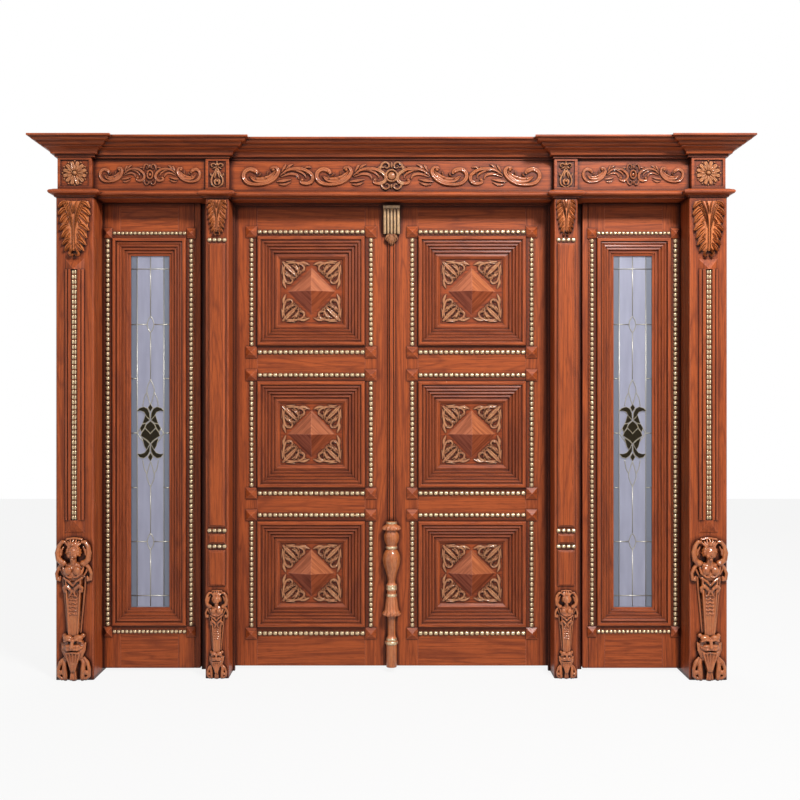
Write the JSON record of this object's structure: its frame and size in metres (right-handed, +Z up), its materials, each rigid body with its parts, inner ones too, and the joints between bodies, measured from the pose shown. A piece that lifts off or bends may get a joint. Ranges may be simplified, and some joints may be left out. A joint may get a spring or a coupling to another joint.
{
  "type": "carved entrance door set",
  "caption": "Carved timber entrance door set: double leaves with diamond panels, glazed sidelights, figured pilasters, scrolled frieze and stepped cornice, in its frame.",
  "frame": {"origin": "middle of the footprint on the floor, halfway along the width and the depth", "axes": "+X to the right seen from the carved front, +Y into the building, +Z up"},
  "size_m": [3.72, 0.375, 2.815],
  "materials": {
    "lacquered_wood": "satin lacquer over open grain",
    "carved_wood": "satin lacquer with antique gold rubbed on the high parts",
    "gilt_beads": "champagne gilding with dark gaps",
    "frosted_glass": "frosted, pale blue grey",
    "cames": "patinated grey metal",
    "hinge_steel": "satin"
  },
  "bodies": {
    "frame": {"outer_post_left": "lacquered_wood", "outer_post_right": "lacquered_wood", "inner_post_left": "lacquered_wood", "inner_post_right": "lacquered_wood", "head_beam": "lacquered_wood", "frieze_boards": "lacquered_wood", "outer_frieze_blocks": "lacquered_wood", "inner_frieze_blocks": "lacquered_wood", "cornice": "lacquered_wood", "string_moulding": "lacquered_wood", "outer_strips": "lacquered_wood", "outer_pyramid_blocks": "lacquered_wood", "inner_pilaster_panels": "lacquered_wood", "sidelight_frame_left": "lacquered_wood", "sidelight_frame_right": "lacquered_wood", "sidelight_moulding_left": "lacquered_wood", "sidelight_moulding_right": "lacquered_wood", "sidelight_blocks": "lacquered_wood", "centre_frieze_scroll": "carved_wood", "left_frieze_scroll": "carved_wood", "right_frieze_scroll": "carved_wood", "frieze_rosettes": "carved_wood", "frieze_cartouches": "carved_wood", "outer_capitals": "carved_wood", "inner_capitals": "carved_wood", "outer_herm_left": "carved_wood", "outer_herm_right": "carved_wood", "inner_herm_left": "carved_wood", "inner_herm_right": "carved_wood", "outer_lion_feet": "carved_wood", "inner_lion_feet": "carved_wood", "outer_bead_columns": "gilt_beads", "inner_bead_rows": "gilt_beads", "sidelight_beads_left": "gilt_beads", "sidelight_beads_right": "gilt_beads", "sidelight_glass_left": "frosted_glass", "sidelight_glass_right": "frosted_glass", "sidelight_cames_left": "cames", "sidelight_cames_right": "cames", "hinge_fixed_plates": "hinge_steel", "hinge_pins": "hinge_steel"},
    "left_leaf": {"left_leaf_frame": "lacquered_wood", "left_leaf_mouldings": "lacquered_wood", "left_leaf_panels": "lacquered_wood", "left_leaf_spandrels": "carved_wood", "left_leaf_blocks": "lacquered_wood", "left_leaf_beads": "gilt_beads", "left_hinge_plates": "hinge_steel"},
    "right_leaf": {"right_leaf_frame": "lacquered_wood", "right_leaf_mouldings": "lacquered_wood", "right_leaf_panels": "lacquered_wood", "right_leaf_spandrels": "carved_wood", "right_leaf_blocks": "lacquered_wood", "right_leaf_beads": "gilt_beads", "right_hinge_plates": "hinge_steel", "astragal": "lacquered_wood", "console": "carved_wood", "pendant_leaf": "carved_wood", "baluster": "carved_wood"}
  },
  "joints": [
    {"name": "left_leaf_swing", "type": "hinge", "parent": "frame", "child": "left_leaf", "pos_m": [-0.85, 0.181, 1.25], "axis": [0, 0, 1], "range_deg": [0, 100]},
    {"name": "right_leaf_swing", "type": "hinge", "parent": "frame", "child": "right_leaf", "pos_m": [0.85, 0.181, 1.25], "axis": [0, 0, -1], "range_deg": [0, 90]}
  ],
  "couplings": [
    {"joint": "right_leaf_swing", "follows": "left_leaf_swing", "ratio": 0.9}
  ]
}
